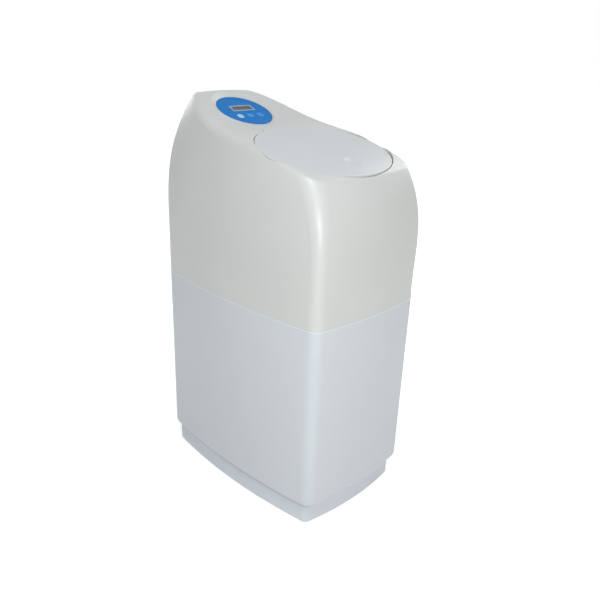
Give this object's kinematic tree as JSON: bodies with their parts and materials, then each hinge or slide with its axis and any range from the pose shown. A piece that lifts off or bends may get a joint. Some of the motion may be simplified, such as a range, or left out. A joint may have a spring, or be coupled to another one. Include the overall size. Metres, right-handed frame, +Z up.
{
  "type": "water softener",
  "caption": "Compact cabinet water softener: a tapered salt tank on a plinth, a hood with a hinged oval salt lid and a round control panel, with a resin vessel, control valve and bypass inside",
  "frame": {"origin": "on the floor under the middle of the cabinet's plan, at the crossing of the plinth's middle ribs", "axes": "+Z up, -Y towards the front with the salt lid, +Y towards the back with the pipework, +X to the right seen from behind"},
  "size_m": [0.3404, 0.5335, 0.837],
  "materials": {
    "tank_plastic": "satin moulded polyethylene",
    "cover_plastic": "satin moulded plastic",
    "plinth_plastic": "satin moulded plastic",
    "lid_plastic": "satin moulded plastic",
    "panel_plastic": "glossy moulded plastic",
    "display_frame_plastic": "satin moulded plastic",
    "display_glass": "polished pane",
    "display_module": "dark display cell",
    "circuit_board": "lacquered board",
    "button_light": "satin moulded plastic",
    "button_blue": "satin moulded plastic",
    "zinc_steel": "zinc plated",
    "pin_steel": "ground rod",
    "seal_rubber": "soft foam rubber",
    "ring_rubber": "moulded rubber",
    "socket_plastic": "black moulded plastic",
    "vessel_wrap": "wound glass fibre and resin",
    "boot_plastic": "black moulded plastic",
    "resin_beads": "packed amber beads",
    "riser_plastic": "extruded pipe",
    "basket_plastic": "moulded plastic",
    "valve_plastic": "glass-filled black plastic",
    "disc_ceramic": "lapped ceramic",
    "gear_plastic": "natural acetal",
    "bracket_steel": "pressed and plated",
    "motor_metal": "pressed and plated",
    "turbine_plastic": "moulded acetal",
    "rotor_plastic": "moulded acetal",
    "knob_plastic": "moulded plastic",
    "fitting_plastic": "moulded plastic",
    "well_plastic": "extruded and moulded plastic",
    "float_plastic": "hollow moulded float",
    "rod_plastic": "drawn rod with moulded stops",
    "line_tube": "flexible polyethylene tube"
  },
  "bodies": {
    "cabinet": {"brine_tank": "tank_plastic", "top_cover": "cover_plastic", "base_plinth": "plinth_plastic", "control_panel": "panel_plastic", "display_frame": "display_frame_plastic", "display_glass": "display_glass", "display_module": "display_module", "control_board": "circuit_board", "base_screws": "zinc_steel", "cover_screws": "zinc_steel", "bonnet_screws": "zinc_steel", "motor_screws": "zinc_steel", "lid_hinge_pin": "pin_steel", "neck_ring": "ring_rubber", "power_socket": "socket_plastic", "resin_vessel": "vessel_wrap", "vessel_boot": "boot_plastic", "resin_bed": "resin_beads", "riser_tube": "riser_plastic", "lower_distributor": "basket_plastic", "upper_distributor": "basket_plastic", "valve_body": "valve_plastic", "valve_bonnet": "valve_plastic", "injector_cap": "valve_plastic", "drain_elbow": "valve_plastic", "bypass_body": "valve_plastic", "chamber_caps": "valve_plastic", "union_nuts": "valve_plastic", "fixed_disc": "disc_ceramic", "motor_bracket": "bracket_steel", "drive_motor": "motor_metal", "turbine_cage": "turbine_plastic", "overflow_elbow": "fitting_plastic", "overflow_nut": "fitting_plastic", "brine_nut": "fitting_plastic", "brine_well": "well_plastic", "well_cap": "well_plastic", "brine_valve": "well_plastic", "brine_line": "line_tube"},
    "lid": {"salt_lid": "lid_plastic", "lid_seal": "seal_rubber"},
    "button_a": {"button_left": "button_light"},
    "button_b": {"button_middle": "button_blue"},
    "button_c": {"button_right": "button_blue"},
    "drive": {"drive_gear": "gear_plastic", "drive_spindle": "gear_plastic", "moving_disc": "disc_ceramic"},
    "pinion": {"motor_pinion": "gear_plastic"},
    "turbine": {"flow_turbine": "turbine_plastic"},
    "outlet_tap": {"bypass_rotor_outlet": "rotor_plastic", "bypass_knob_outlet": "knob_plastic"},
    "inlet_tap": {"bypass_rotor_inlet": "rotor_plastic", "bypass_knob_inlet": "knob_plastic"},
    "float": {"brine_float": "float_plastic", "float_rod": "rod_plastic"}
  },
  "joints": [
    {"name": "lid_hinge", "type": "hinge", "parent": "cabinet", "child": "lid", "pos_m": [0, 0.01376, 0.7753], "axis": [-1, 0, 0], "range_deg": [0, 105]},
    {"name": "left_button_press", "type": "slide", "parent": "cabinet", "child": "button_a", "axis": [0, 0.3827, -0.9239], "range_m": [0, 0.0007], "stiffness_N_per_m": 400},
    {"name": "middle_button_press", "type": "slide", "parent": "cabinet", "child": "button_b", "axis": [0, 0.3827, -0.9239], "range_m": [0, 0.0007], "stiffness_N_per_m": 400},
    {"name": "right_button_press", "type": "slide", "parent": "cabinet", "child": "button_c", "axis": [0, 0.3827, -0.9239], "range_m": [0, 0.0007], "stiffness_N_per_m": 400},
    {"name": "valve_drive_turn", "type": "hinge", "parent": "cabinet", "child": "drive", "pos_m": [0, 0.124, 0.7121], "axis": [0, 0, 1], "continuous": true},
    {"name": "motor_pinion_turn", "type": "hinge", "parent": "cabinet", "child": "pinion", "pos_m": [0, 0.07, 0.7121], "axis": [0, 0, 1], "continuous": true},
    {"name": "flow_turbine_turn", "type": "hinge", "parent": "cabinet", "child": "turbine", "pos_m": [-0.038, 0.1879, 0.625], "axis": [0, 1, 0], "continuous": true},
    {"name": "outlet_tap_turn", "type": "hinge", "parent": "cabinet", "child": "outlet_tap", "pos_m": [-0.038, 0.2343, 0.625], "axis": [0, 0, 1], "range_deg": [0, 90]},
    {"name": "inlet_tap_turn", "type": "hinge", "parent": "cabinet", "child": "inlet_tap", "pos_m": [0.038, 0.2343, 0.625], "axis": [0, 0, 1], "range_deg": [0, 90]},
    {"name": "float_rise", "type": "slide", "parent": "cabinet", "child": "float", "axis": [0, 0, 1], "range_m": [0, 0.015]}
  ],
  "couplings": [
    {"joint": "motor_pinion_turn", "follows": "valve_drive_turn", "ratio": -5}
  ]
}
